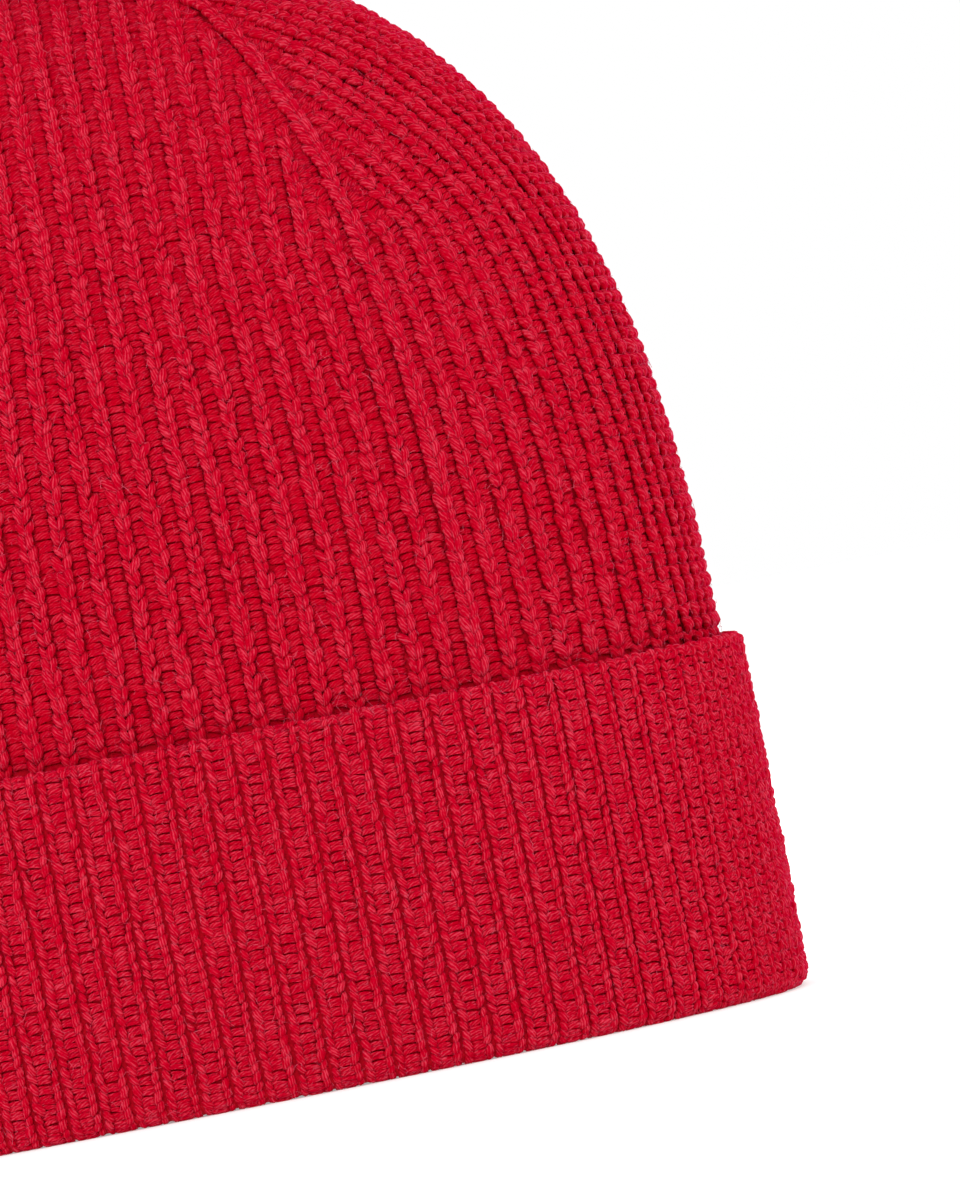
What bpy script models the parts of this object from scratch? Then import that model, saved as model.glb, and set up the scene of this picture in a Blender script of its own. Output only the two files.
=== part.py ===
"""Pom pom beanie: a rib-knit beanie with a turned-up cuff and a yarn pom pom on its crown.

The beanie stands open on the fold of its cuff, as it sits on a head. +Z runs up through the
crown, the wide face that lies over the side of the head looks along -Y, and the back seam is
on +Y. The origin is the centre of the head opening, on the surface that the fold rests on.
All dimensions are in metres.
"""

import math

import bmesh
import bpy

# --- driving dimensions ------------------------------------------------------------------
BODY_HALF_LENGTH = 0.1069    # half the body's outer size along X, below the crown
DEPTH_RATIO = 0.775          # the body's size along Y over its size along X
CROWN_HEIGHT = 0.2352        # top of the knitted crown above the rest surface
CROWN_START = 0.0407         # height at which the wall starts to curve in
CROWN_RISE_POWER = 3.48      # shape of the crown's outline, seen from the side
CROWN_REACH_POWER = 1.79
PLAN_POWER = 2.5             # superellipse exponent of the head opening, seen from above

KNIT = 0.0038                # thickness of one layer of rib knit
CUFF_KNIT = 0.0036           # thickness of the turned-up layer
CUFF_HEIGHT = 0.0730         # from the fold to the cast-on edge
GAP = 0.0003                 # clearance between touching pieces
CROWN_CLEARANCE = 0.0004     # clearance of the yarn pieces above and below the crown's centre

POM_RADIUS = 0.041
POM_STANDOFF = 0.0443        # centre of the pom pom above its pivot
SHANK_RADIUS = 0.0024        # the wound yarn ball that the pom pom tilts on
TIE_RADIUS = 0.0020          # the binding yarn's tails, inside the pom pom
TIE_DISC_RADIUS = 0.0060     # the binding yarn's wraps, at the pom pom's middle
TIE_DISC_HALF = 0.0020
TIE_DISC_RIM_HALF = 0.0012   # half the height of the wraps' upright rim
PILE_ROOM = 0.0006           # clearance between the pile and the binding yarn
PILE_TOP_ANGLE = 86          # degrees up at which the ball's outline turns to its flat top facet
CROWN_HOLE_RADIUS = 0.0026   # the closed crown's centre, where the tails pass through
GATHER_RADIUS = 0.0062       # the drawn-up closing yarn lies in a ring of this radius
GATHER_YARN_RADIUS = 0.0011
KNOT_RADIUS = 0.0060
KNOT_HALF_HEIGHT = 0.0028

SEAM_WIDTH = 0.0036
SEAM_THICKNESS = 0.0013
SEAM_BOTTOM = 0.0100
SEAM_TOP_REACH = 0.0150      # the seam stops this far from the crown's centre
SEAM_GAP = 0.0009            # clearance between the seam and the curved wall

LABEL_WIDTH = 0.0240
LABEL_HEIGHT = 0.0340
LABEL_THICKNESS = 0.0007
LABEL_BOTTOM = 0.0280
STITCH_THICKNESS = 0.0007
STITCH_DROP = 0.0025         # the stitch line lies this far below the label's top edge
STITCH_LENGTH = 0.0216

AROUND = 56                  # facets round the head opening
AROUND_SMALL = 24            # facets round the small turned pieces
WALL_STEPS = 4
CROWN_STEPS = 14
FOLD_STEPS = 7               # odd, so that the middle facet of the fold lies flat
LIP_STEPS = 4
GATHER_SIDES = 8
KNOT_SEGMENTS = (16, 8)      # round and from pole to pole
SHANK_SEGMENTS = (16, 10)
PILE_AROUND = 32
PILE_STEPS = 18
SHARP_ANGLE = 50             # degrees between facets that stay crisp

WOOL_RED = (0.480, 0.0052, 0.0222, 1.0)
WOOL_RED_DEEP = (0.350, 0.0040, 0.0170, 1.0)
LABEL_WHITE = (0.80, 0.78, 0.74, 1.0)
THREAD_WHITE = (0.70, 0.68, 0.64, 1.0)
WOOL_ROUGHNESS = 0.85
LABEL_ROUGHNESS = 0.45

FOLD_RADIUS = (KNIT + GAP + CUFF_KNIT) / 2
FOLD_FACET_HALF_ANGLE = math.pi / FOLD_STEPS / 2
FOLD_CENTRE_Z = FOLD_RADIUS * math.cos(FOLD_FACET_HALF_ANGLE)
BODY_BOTTOM_Z = FOLD_CENTRE_Z + GAP
PIVOT_Z = CROWN_HEIGHT + CROWN_CLEARANCE + SHANK_RADIUS


# --- shape of the head opening and the crown -----------------------------------------------
def signed_power(value, power):
    """A power that keeps the sign of its base."""
    return math.copysign(abs(value) ** power, value)


def oval_point(angle, half_x, half_y, offset=0.0):
    """A point of the opening's superellipse, moved out along its normal by offset."""
    x = half_x * signed_power(math.cos(angle), 2 / PLAN_POWER)
    y = half_y * signed_power(math.sin(angle), 2 / PLAN_POWER)
    normal_x = signed_power(math.cos(angle), 2 - 2 / PLAN_POWER) / half_x
    normal_y = signed_power(math.sin(angle), 2 - 2 / PLAN_POWER) / half_y
    length = math.hypot(normal_x, normal_y)
    return x + offset * normal_x / length, y + offset * normal_y / length


def oval_ring(half_x, half_y, z, offset=0.0):
    """One ring of points round the hat."""
    angles = [2 * math.pi * i / AROUND for i in range(AROUND)]
    return [(*oval_point(a, half_x, half_y, offset), z) for a in angles]


def crown_half_sizes(z, inset=0.0):
    """The body's half sizes along X and Y at a height; inset moves the surface inwards."""
    top = CROWN_HEIGHT - inset
    t = min(max((z - CROWN_START) / (top - CROWN_START), 0.0), 1.0)
    reach = (1 - t ** CROWN_RISE_POWER) ** (1 / CROWN_REACH_POWER)
    half_x = (BODY_HALF_LENGTH - inset) * reach
    half_y = (BODY_HALF_LENGTH * DEPTH_RATIO - inset) * reach
    return half_x, half_y


def crown_height_at(half_x, inset=0.0):
    """The height at which the body's half size along X has shrunk to half_x."""
    reach = half_x / (BODY_HALF_LENGTH - inset)
    t = (1 - reach ** CROWN_REACH_POWER) ** (1 / CROWN_RISE_POWER)
    return CROWN_START + t * (CROWN_HEIGHT - inset - CROWN_START)


def wall_levels(bottom, inset):
    """Heights and half sizes of the wall and crown, from the bottom up to the closing hole."""
    levels = []
    for i in range(WALL_STEPS):
        z = bottom + (CROWN_START - bottom) * i / WALL_STEPS
        levels.append((*crown_half_sizes(z, inset), z))
    last_z = crown_height_at(CROWN_HOLE_RADIUS, inset)
    last_t = (last_z - CROWN_START) / (CROWN_HEIGHT - inset - CROWN_START)
    last_angle = math.asin(last_t ** (CROWN_RISE_POWER / 2))
    for i in range(CROWN_STEPS):
        t = math.sin(last_angle * i / CROWN_STEPS) ** (2 / CROWN_RISE_POWER)
        z = CROWN_START + t * (CROWN_HEIGHT - inset - CROWN_START)
        levels.append((*crown_half_sizes(z, inset), z))
    levels.append((CROWN_HOLE_RADIUS, CROWN_HOLE_RADIUS, last_z))
    return levels


# --- mesh helpers ------------------------------------------------------------------------
def wool(name, colour, roughness):
    """A plain finish for one piece."""
    material = bpy.data.materials.new(name)
    material.use_nodes = True
    shader = material.node_tree.nodes["Principled BSDF"]
    shader.inputs["Base Color"].default_value = colour
    shader.inputs["Roughness"].default_value = roughness
    shader.inputs["Metallic"].default_value = 0.0
    return material


def add_object(name, bm, material, parent=None):
    """Turn a bmesh into a named object with outward faces and one material."""
    bmesh.ops.recalc_face_normals(bm, faces=bm.faces)
    mesh = bpy.data.meshes.new(name)
    bm.to_mesh(mesh)
    bm.free()
    mesh.shade_smooth()
    mesh.set_sharp_from_angle(angle=math.radians(SHARP_ANGLE))
    mesh.materials.append(material)
    obj = bpy.data.objects.new(name, mesh)
    bpy.context.scene.collection.objects.link(obj)
    if parent is not None:
        obj.parent = parent
    return obj


def skin(rings, closed):
    """Join rings of equal length with quads; closed joins the last ring to the first."""
    bm = bmesh.new()
    loops = [[bm.verts.new(point) for point in ring] for ring in rings]
    pairs = list(zip(loops, loops[1:]))
    if closed:
        pairs.append((loops[-1], loops[0]))
    for low, high in pairs:
        for i in range(len(low)):
            j = (i + 1) % len(low)
            bm.faces.new((low[i], low[j], high[j], high[i]))
    if not closed:
        bm.faces.new(reversed(loops[0]))
        bm.faces.new(loops[-1])
    return bm


def turned(profile, closed, sides=AROUND_SMALL):
    """A solid turned round Z from (radius, height) pairs."""
    rings = []
    for radius, z in profile:
        angles = [2 * math.pi * i / sides for i in range(sides)]
        rings.append([(radius * math.cos(a), radius * math.sin(a), z) for a in angles])
    return skin(rings, closed)


def arc(centre_r, centre_z, radius, start, end, steps):
    """Points of an arc in the (radius, height) plane, angles in degrees."""
    points = []
    for i in range(steps + 1):
        a = math.radians(start + (end - start) * i / steps)
        points.append((centre_r + radius * math.cos(a), centre_z + radius * math.sin(a)))
    return points


def add_pivot(name, location):
    """An empty on a joint's axis."""
    pivot = bpy.data.objects.new(name, None)
    bpy.context.scene.collection.objects.link(pivot)
    pivot.location = location
    return pivot


# --- the knitted pieces ------------------------------------------------------------------
def make_knit_body(material):
    """The rib-knit tube and its domed crown: one layer, open below and at the crown's centre."""
    outside = [oval_ring(*level) for level in wall_levels(BODY_BOTTOM_Z, 0.0)]
    inside = [oval_ring(*level) for level in wall_levels(BODY_BOTTOM_Z, KNIT)]
    return add_object("knit_body", skin(outside + inside[::-1], True), material)


def make_turned_cuff(material):
    """The turned-up layer: a J in section, its foot folded under the end of the body."""
    half_x, half_y = crown_half_sizes(0.0)
    lip_radius = CUFF_KNIT / 2
    lip_centre_z = CUFF_HEIGHT - lip_radius
    fold_centre = FOLD_RADIUS - KNIT
    section = arc(fold_centre, FOLD_CENTRE_Z, FOLD_RADIUS, -180, 0, FOLD_STEPS)
    for i in range(1, WALL_STEPS + 1):
        z = FOLD_CENTRE_Z + (lip_centre_z - FOLD_CENTRE_Z) * i / WALL_STEPS
        section.append((GAP + CUFF_KNIT, z))
    section += arc(GAP + lip_radius, lip_centre_z, lip_radius, 0, 180, LIP_STEPS)[1:]
    for i in range(1, WALL_STEPS + 1):
        z = lip_centre_z + (FOLD_CENTRE_Z - lip_centre_z) * i / WALL_STEPS
        section.append((GAP, z))
    section.append((-KNIT / 2, FOLD_CENTRE_Z))
    rings = [oval_ring(half_x, half_y, z, offset) for offset, z in section]
    return add_object("turned_cuff", skin(rings, True), material)


def make_back_seam(material):
    """The ridge of linked edges on the inside, down the centre back from crown to fold."""
    stations = []
    for half_x, half_y, z in wall_levels(SEAM_BOTTOM, KNIT):
        if half_y > SEAM_TOP_REACH:
            stations.append((half_y, z))
    near = SEAM_GAP
    far = near + SEAM_THICKNESS
    half = SEAM_WIDTH / 2
    rings = []
    for i, (y, z) in enumerate(stations):
        y0, z0 = stations[max(i - 1, 0)]
        y1, z1 = stations[min(i + 1, len(stations) - 1)]
        length = math.hypot(y1 - y0, z1 - z0)
        inward_y = -(z1 - z0) / length
        inward_z = (y1 - y0) / length
        rings.append([
            (-half, y + near * inward_y, z + near * inward_z),
            (half, y + near * inward_y, z + near * inward_z),
            (half, y + far * inward_y, z + far * inward_z),
            (-half, y + far * inward_y, z + far * inward_z),
        ])
    return add_object("back_seam", skin(rings, False), material)


def make_crown_gather_yarn(material):
    """The yarn drawn through the last stitches, lying in a ring on the crown's centre."""
    z = CROWN_HEIGHT + CROWN_CLEARANCE + GATHER_YARN_RADIUS
    last = 360 - 360 / GATHER_SIDES
    section = arc(GATHER_RADIUS, z, GATHER_YARN_RADIUS, 0, last, GATHER_SIDES - 1)
    return add_object("crown_gather_yarn", turned(section, True), material)


# --- the care label ----------------------------------------------------------------------
def make_plate(name, centre, size, material):
    """A thin rectangular piece."""
    bm = bmesh.new()
    bmesh.ops.create_cube(bm, size=1.0)
    bmesh.ops.scale(bm, vec=size, verts=bm.verts)
    bmesh.ops.translate(bm, vec=centre, verts=bm.verts)
    return add_object(name, bm, material)


def make_care_label(label_material, thread_material):
    """A small blank woven label inside the back, and the stitch line that holds it."""
    inner_y = crown_half_sizes(0.0, KNIT)[1]
    label_y = inner_y - SEAM_GAP - SEAM_THICKNESS - GAP - LABEL_THICKNESS / 2
    stitch_y = label_y - LABEL_THICKNESS / 2 - GAP - STITCH_THICKNESS / 2
    top = LABEL_BOTTOM + LABEL_HEIGHT
    make_plate(
        "care_label",
        (0.0, label_y, LABEL_BOTTOM + LABEL_HEIGHT / 2),
        (LABEL_WIDTH, LABEL_THICKNESS, LABEL_HEIGHT),
        label_material,
    )
    make_plate(
        "label_stitch",
        (0.0, stitch_y, top - STITCH_DROP),
        (STITCH_LENGTH, STITCH_THICKNESS, STITCH_THICKNESS),
        thread_material,
    )


# --- the pom pom and what holds it ---------------------------------------------------------
def make_anchor_knot(material):
    """The knot in the pom pom's tails, inside the crown."""
    centre_z = CROWN_HEIGHT - KNIT - CROWN_CLEARANCE - KNOT_HALF_HEIGHT
    around, up = KNOT_SEGMENTS
    bm = bmesh.new()
    bmesh.ops.create_uvsphere(bm, u_segments=around, v_segments=up, radius=1.0)
    bmesh.ops.scale(bm, vec=(KNOT_RADIUS, KNOT_RADIUS, KNOT_HALF_HEIGHT), verts=bm.verts)
    bmesh.ops.translate(bm, vec=(0, 0, centre_z), verts=bm.verts)
    return add_object("anchor_knot", bm, material)


def make_shank_wrap(pivot, material):
    """The ball of yarn wound round the tails between crown and pom pom, on the tilt axes."""
    around, up = SHANK_SEGMENTS
    bm = bmesh.new()
    bmesh.ops.create_uvsphere(bm, u_segments=around, v_segments=up, radius=SHANK_RADIUS)
    return add_object("shank_wrap", bm, material, pivot)


def make_pom_tie(pivot, material):
    """The binding yarn: its wraps round the pile's middle, and the tails going down."""
    bottom = SHANK_RADIUS + GAP
    middle = POM_STANDOFF
    profile = [
        (TIE_RADIUS, bottom),
        (TIE_RADIUS, middle - TIE_DISC_HALF),
        (TIE_DISC_RADIUS, middle - TIE_DISC_RIM_HALF),
        (TIE_DISC_RADIUS, middle + TIE_DISC_RIM_HALF),
        (TIE_RADIUS, middle + TIE_DISC_HALF),
    ]
    return add_object("pom_tie", turned(profile, False), material, pivot)


def make_pom_pile(pivot, material):
    """The ball of cut yarn, hollow only where the binding yarn and its tails lie."""
    neck = TIE_RADIUS + PILE_ROOM
    chamber = TIE_DISC_RADIUS + PILE_ROOM
    half_chamber = TIE_DISC_HALF + PILE_ROOM
    mouth_angle = -math.degrees(math.acos(neck / POM_RADIUS))
    ball = arc(0, POM_STANDOFF, POM_RADIUS, mouth_angle, PILE_TOP_ANGLE, PILE_STEPS)
    outline = [
        (TIE_RADIUS, POM_STANDOFF + half_chamber),
        (chamber, POM_STANDOFF + half_chamber),
        (chamber, POM_STANDOFF - half_chamber),
        (neck, POM_STANDOFF - half_chamber),
    ]
    return add_object("pom_pile", turned(outline + ball, False, PILE_AROUND), material, pivot)


def main():
    """Build the whole beanie."""
    for obj in list(bpy.data.objects):
        bpy.data.objects.remove(obj)

    knit = wool("rib_knit_wool", WOOL_RED, WOOL_ROUGHNESS)
    yarn = wool("sewing_yarn", WOOL_RED_DEEP, WOOL_ROUGHNESS)
    make_knit_body(knit)
    make_turned_cuff(wool("cuff_wool", WOOL_RED, WOOL_ROUGHNESS))
    make_back_seam(wool("seam_yarn", WOOL_RED_DEEP, WOOL_ROUGHNESS))
    make_crown_gather_yarn(yarn)
    make_care_label(
        wool("label_satin", LABEL_WHITE, LABEL_ROUGHNESS),
        wool("label_thread", THREAD_WHITE, WOOL_ROUGHNESS),
    )
    make_anchor_knot(wool("knot_yarn", WOOL_RED_DEEP, WOOL_ROUGHNESS))

    shank_pivot = add_pivot("shank_pivot", (0, 0, PIVOT_Z))
    pom_pivot = add_pivot("pom_pivot", (0, 0, 0))
    pom_pivot.parent = shank_pivot
    make_shank_wrap(shank_pivot, wool("shank_yarn", WOOL_RED_DEEP, WOOL_ROUGHNESS))
    make_pom_tie(pom_pivot, wool("tie_yarn", WOOL_RED_DEEP, WOOL_ROUGHNESS))
    make_pom_pile(pom_pivot, wool("pom_wool", WOOL_RED, WOOL_ROUGHNESS))


main()
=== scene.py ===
"""The looks of the pom pom beanie: every stitch, stray fibre and pom pom yarn is real geometry.

The hat's surface is a superellipse in plan whose size falls off towards the crown. Wales (the
columns of a rib) are paths on that surface, and each stitch is a short tube of yarn laid along
its wale. All lengths are in metres, except where a name or a comment says millimetres.
"""

import math
from collections import namedtuple

import bpy
import numpy as np
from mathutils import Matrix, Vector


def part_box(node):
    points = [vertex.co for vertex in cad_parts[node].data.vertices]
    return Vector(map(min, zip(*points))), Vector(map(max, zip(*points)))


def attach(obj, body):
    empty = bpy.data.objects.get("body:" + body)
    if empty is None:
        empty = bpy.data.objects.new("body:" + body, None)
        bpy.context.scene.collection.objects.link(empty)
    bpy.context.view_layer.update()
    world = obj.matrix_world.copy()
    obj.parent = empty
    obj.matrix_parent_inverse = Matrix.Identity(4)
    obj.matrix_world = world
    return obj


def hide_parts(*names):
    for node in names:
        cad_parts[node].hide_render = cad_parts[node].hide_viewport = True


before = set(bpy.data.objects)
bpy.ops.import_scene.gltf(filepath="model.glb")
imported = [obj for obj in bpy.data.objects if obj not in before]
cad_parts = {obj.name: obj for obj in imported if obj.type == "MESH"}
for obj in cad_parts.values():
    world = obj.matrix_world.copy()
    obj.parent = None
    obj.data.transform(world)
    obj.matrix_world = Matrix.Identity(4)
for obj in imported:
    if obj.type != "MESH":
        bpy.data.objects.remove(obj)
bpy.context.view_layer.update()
MM = 0.001
RNG = np.random.default_rng(41)
GAUSS = RNG.standard_normal  # what is uneven is drawn from here

# --- the hat's surface, from the frame ---
BODY_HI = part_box("knit_body")[1]
CUFF_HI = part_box("turned_cuff")[1]
BODY_HALF = BODY_HI[0]
DEPTH_RATIO = BODY_HI[1] / BODY_HI[0]
CROWN_Z = BODY_HI[2]
CUFF_OUT = CUFF_HI[0] - BODY_HALF  # the cuff's outside, beyond the body's
CUFF_TOP = CUFF_HI[2]
PLAN_POWER = 2.5  # the plan is a superellipse of this power
CROWN_START = 0.0407  # the wall stands upright up to this height,
RISE_POWER = 3.48  # and the crown above is one of these two powers
REACH_POWER = 1.79
RING_POINTS = 40001
KNIT = 3.8 * MM  # thickness of one layer of the knit
WALL_LEVELS = 30
CROWN_LEVELS = 400
APEX_REACH = 0.004  # the paths end this share of the half size from the apex

# --- the knitting ---
WALES = 96  # ribs round the hat
FRONT_HALF_RIBS = 9  # ribs from the front's centre to the decrease rib
SHAPING_Z = 0.164  # the decreases start at this height
BODY_ROW = 2.75 * MM
CUFF_ROW = 2.0 * MM
PATH_STEP = 0.5 * MM
SECTORS = 12  # the knit is cut into this many pieces round the hat

# One leg of a V in millimetres: from tail to head along the wale and from inner to outer across
# it; deep and high are the heights of its ends and of its middle, width its yarn's radius.
Leg = namedtuple("Leg", "tail head inner outer deep high width")
BODY_LEG = Leg(-1.25, 2.15, 0.20, 1.00, -1.45, -0.62, 1.00)
CUFF_LEG = Leg(-1.25, 1.30, 1.52, 0.86, -1.12, -0.58, 0.86)
# A purl bump in millimetres: half its length, how far it bows along the wale, and the same heights.
Bar = namedtuple("Bar", "half bow deep high width")
BODY_BAR = Bar(1.65, 0.25, -1.95, -1.75, 0.86)
BODY_UNDER_BAR = Bar(1.65, 0.15, -2.00, -1.84, 0.86)
CUFF_BAR = Bar(1.60, 0.35, -1.15, -0.78, 0.66)
CUFF_UNDER_BAR = Bar(1.60, 0.10, -1.20, -0.88, 0.66)


def unit_ring():
    """The plan outline at half size 1: points and arc length so far."""
    angle = np.linspace(0, math.tau, RING_POINTS)
    c, s = np.cos(angle), np.sin(angle)
    x = np.sign(c) * np.abs(c) ** (2 / PLAN_POWER)
    y = DEPTH_RATIO * np.sign(s) * np.abs(s) ** (2 / PLAN_POWER)
    step = np.hypot(np.diff(x), np.diff(y))
    return x, y, np.concatenate([[0], np.cumsum(step)])


RING_X, RING_Y, RING_ARC = unit_ring()
ROUND = RING_ARC[-1]  # the unit outline's whole length
PITCH = ROUND / WALES  # one rib of it


def on_ring(arc):
    """Points of the unit outline at arc lengths from +X towards +Y."""
    arc = np.mod(arc, ROUND)
    return np.interp(arc, RING_ARC, RING_X), np.interp(arc, RING_ARC, RING_Y)


def outline_levels(bottom):
    """Half sizes and heights of the body's outside, from the bottom to close to the apex."""
    start = max(bottom - CROWN_START, 0) / (CROWN_Z - CROWN_START)
    first = math.asin(start ** (RISE_POWER / 2))
    last = math.acos(APEX_REACH ** (REACH_POWER / 2))
    angle = np.linspace(first, last, CROWN_LEVELS)
    half = BODY_HALF * np.cos(angle) ** (2 / REACH_POWER)
    z = CROWN_START + np.sin(angle) ** (2 / RISE_POWER) * (CROWN_Z - CROWN_START)
    if bottom < CROWN_START:
        wall_z = np.linspace(bottom, CROWN_START, WALL_LEVELS, endpoint=False)
        half = np.concatenate([np.full(WALL_LEVELS, BODY_HALF), half])
        z = np.concatenate([wall_z, z])
    return half, z


def unit(v):
    """Vectors scaled to length 1."""
    return v / np.maximum(np.linalg.norm(v, axis=-1, keepdims=True), 1e-12)


def surface_normal(point):
    """Outward normals of the body's surface at points on it."""
    x, y, z = point[..., 0], point[..., 1] / DEPTH_RATIO, point[..., 2]
    n = PLAN_POWER
    half = np.maximum((np.abs(x) ** n + np.abs(y) ** n) ** (1 / n), 1e-5)
    t = np.clip((z - CROWN_START) / (CROWN_Z - CROWN_START), 0, 1)
    slope = REACH_POWER * half ** (REACH_POWER - n) / BODY_HALF ** REACH_POWER
    gx = slope * np.sign(x) * np.abs(x) ** (n - 1)
    gy = slope * np.sign(y) * np.abs(y) ** (n - 1) / DEPTH_RATIO
    gz = RISE_POWER * t ** (RISE_POWER - 1) / (CROWN_Z - CROWN_START)
    return unit(np.stack([gx, gy, gz], axis=-1))


def wall_point(arc, out, z):
    """Points and normals beside the upright wall, at arc lengths of the unit outline."""
    x, y = on_ring(arc)
    foot = np.stack([x * BODY_HALF, y * BODY_HALF, np.full_like(x, 1e-4)], axis=-1)
    side = surface_normal(foot)
    point = foot + side * out[..., None]
    point[..., 2] = z
    return point, side


# --- paths of the wales ---
LEADER_END_HALF = 6.5 * MM  # the decrease ribs stop at this half size
WALE_CLEARANCE = 0.62  # ribs between an ending wale and the leader
CHANNEL_CLEARANCE = 0.48  # and between an ending channel and the leader
BESIDE_LEADER = 0.56  # ribs between the leader and the channel that follows it
BODY_BOTTOM = CUFF_TOP - 8 * MM  # the outside starts this far down behind the cuff
CUFF_INSIDE = 14 * MM  # the cuff's stitches run this far up inside the hat
CUFF_GAP = 0.3 * MM  # between the body and the turned-up layer
LIP_TURN = 2.5  # radians that the columns run over the cuff's rounded top
INNER_SAMPLES = 20  # samples of a cuff path inside the hat, round the fold,
FOLD_SAMPLES = 40  # up the outside and over the lip
OUTER_SAMPLES = 59
LIP_SAMPLES = 13


class Paths:
    """Wale paths sampled every PATH_STEP: points, outward normals and directions."""

    def __init__(self, lines):
        """lines: list of (points, normals) arrays, each from the bottom of the wale up."""
        self.length = np.array([self.arc(p)[-1] for p, n in lines])
        size = int(self.length.max() / PATH_STEP) + 3
        self.point = np.zeros((len(lines), size, 3))
        self.normal = np.zeros((len(lines), size, 3))
        where = np.arange(size) * PATH_STEP
        for i, (p, n) in enumerate(lines):
            arc = self.arc(p)
            for axis in range(3):
                self.point[i, :, axis] = np.interp(where, arc, p[:, axis])
                self.normal[i, :, axis] = np.interp(where, arc, n[:, axis])
            over = where > arc[-1]
            ahead = unit(p[-1] - p[-2])
            self.point[i, over] = p[-1] + ahead * (where[over] - arc[-1])[:, None]
        self.ahead = unit(np.gradient(self.point, axis=1))
        self.normal = unit(self.normal)

    @staticmethod
    def arc(p):
        """Arc length along points."""
        return np.concatenate([[0], np.cumsum(np.linalg.norm(np.diff(p, axis=0), axis=1))])

    def at(self, wale, v):
        """Points and normals of the nearest samples to v along wale."""
        i = np.minimum((v / PATH_STEP).astype(int), self.normal.shape[1] - 1)
        return self.point[wale, i], self.normal[wale, i]

    def place(self, wale, u, v, w):
        """World points and normals at v along wale, u to the right of it and w out of it."""
        f = np.clip(v / PATH_STEP, 0, self.point.shape[1] - 1.001)
        i = f.astype(int)
        part = (f - i)[..., None]
        p = self.point[wale, i] * (1 - part) + self.point[wale, i + 1] * part
        n = self.normal[wale, i] * (1 - part) + self.normal[wale, i + 1] * part
        t = self.ahead[wale, i] * (1 - part) + self.ahead[wale, i + 1] * part
        right = np.cross(t, n)
        return p + right * u[..., None] + n * w[..., None], n


def gores():
    """Centre and half width in ribs of the four gores: right, back, left, front."""
    side = WALES // 4 - FRONT_HALF_RIBS
    quarter = ROUND / 4
    front = FRONT_HALF_RIBS
    return [(0, side), (quarter, front), (2 * quarter, side), (3 * quarter, front)]


def gore_shrink(bottom):
    """The body's levels, and how much wider a rib is there than its share of the outline."""
    half, z = outline_levels(bottom)
    shaped = np.interp(SHAPING_Z, z, half)
    return half, z, np.where(z > SHAPING_Z, shaped / half, 1.0)


def surface_line(arc, half, z):
    """A path on the body through the outline's arc lengths at each level."""
    x, y = on_ring(arc)
    p = np.stack([x * half, y * half, z], axis=1)
    return p, surface_normal(p)


def rib_line(centre, offset, limit, bottom, clearance):
    """A wale at a steady distance from its gore's centre, ending where it meets the leader rib."""
    half, z, shrink = gore_shrink(bottom)
    keep = shrink * (abs(offset) + clearance * PITCH) <= limit
    return surface_line(centre + (offset * shrink)[keep], half[keep], z[keep])


def leader_line(centre, limit, bottom):
    """The decrease rib itself, between two gores."""
    half, z = outline_levels(bottom)
    keep = half > LEADER_END_HALF
    return surface_line(np.full(keep.sum(), centre + limit), half[keep], z[keep])


def rib_paths():
    """Paths of the body's wales, and which of them are the leaders of the decreases."""
    lines, leader = [], []
    for centre, ribs in gores():
        limit = ribs * PITCH
        for k in range(1 - ribs, ribs):
            lines.append(rib_line(centre, k * PITCH, limit, BODY_BOTTOM, WALE_CLEARANCE))
        lines.append(leader_line(centre, limit, BODY_BOTTOM))
        leader += [False] * (2 * ribs - 1) + [True]
    return Paths(lines), np.array(leader)


def channel_paths():
    """Paths of the channels between the wales, and of those that follow the leaders."""
    lines = []
    for centre, ribs in gores():
        limit = ribs * PITCH
        for k in range(-ribs, ribs):
            own = (k + 0.5) * PITCH
            lines.append(rib_line(centre, own, limit, BODY_BOTTOM, CHANNEL_CLEARANCE))
        for side in (-1, 1):
            half, z, shrink = gore_shrink(SHAPING_Z)
            keep = half > 2 * LEADER_END_HALF
            arc = centre + side * (limit - BESIDE_LEADER * PITCH * shrink)
            lines.append(surface_line(arc[keep], half[keep], z[keep]))
    return Paths(lines)


def cuff_paths(shift):
    """Paths of the cuff's wales: from inside the hat, round the fold and up to the cast-on."""
    fold = (CUFF_OUT + KNIT) / 2
    lip = (CUFF_OUT - CUFF_GAP) / 2
    turn = np.linspace(math.pi, math.tau, FOLD_SAMPLES)
    over = np.linspace(0, LIP_TURN, LIP_SAMPLES + 1)[1:]
    inner_z = np.linspace(CUFF_INSIDE, fold, INNER_SAMPLES, endpoint=False)
    outer_z = np.linspace(fold, CUFF_TOP - lip, OUTER_SAMPLES + 1)[1:]
    inner, outer = np.ones(INNER_SAMPLES), np.ones(OUTER_SAMPLES)
    out = np.concatenate([-KNIT * inner, -KNIT + fold + fold * np.cos(turn),
                          CUFF_OUT * outer, CUFF_OUT - lip + lip * np.cos(over)])
    z = np.concatenate([inner_z, fold + fold * np.sin(turn),
                        outer_z, CUFF_TOP - lip + lip * np.sin(over)])
    face = np.concatenate([-inner, np.cos(turn), outer, np.cos(over)])
    face_z = np.concatenate([0 * inner, np.sin(turn), 0 * outer, np.sin(over)])
    up = np.array([0, 0, 1])
    lines = []
    for k in range(WALES):
        p, side = wall_point(np.full(len(z), (k + shift) * PITCH), out, z)
        lines.append((p, side * face[:, None] + up * face_z[:, None]))
    return Paths(lines)


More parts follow.
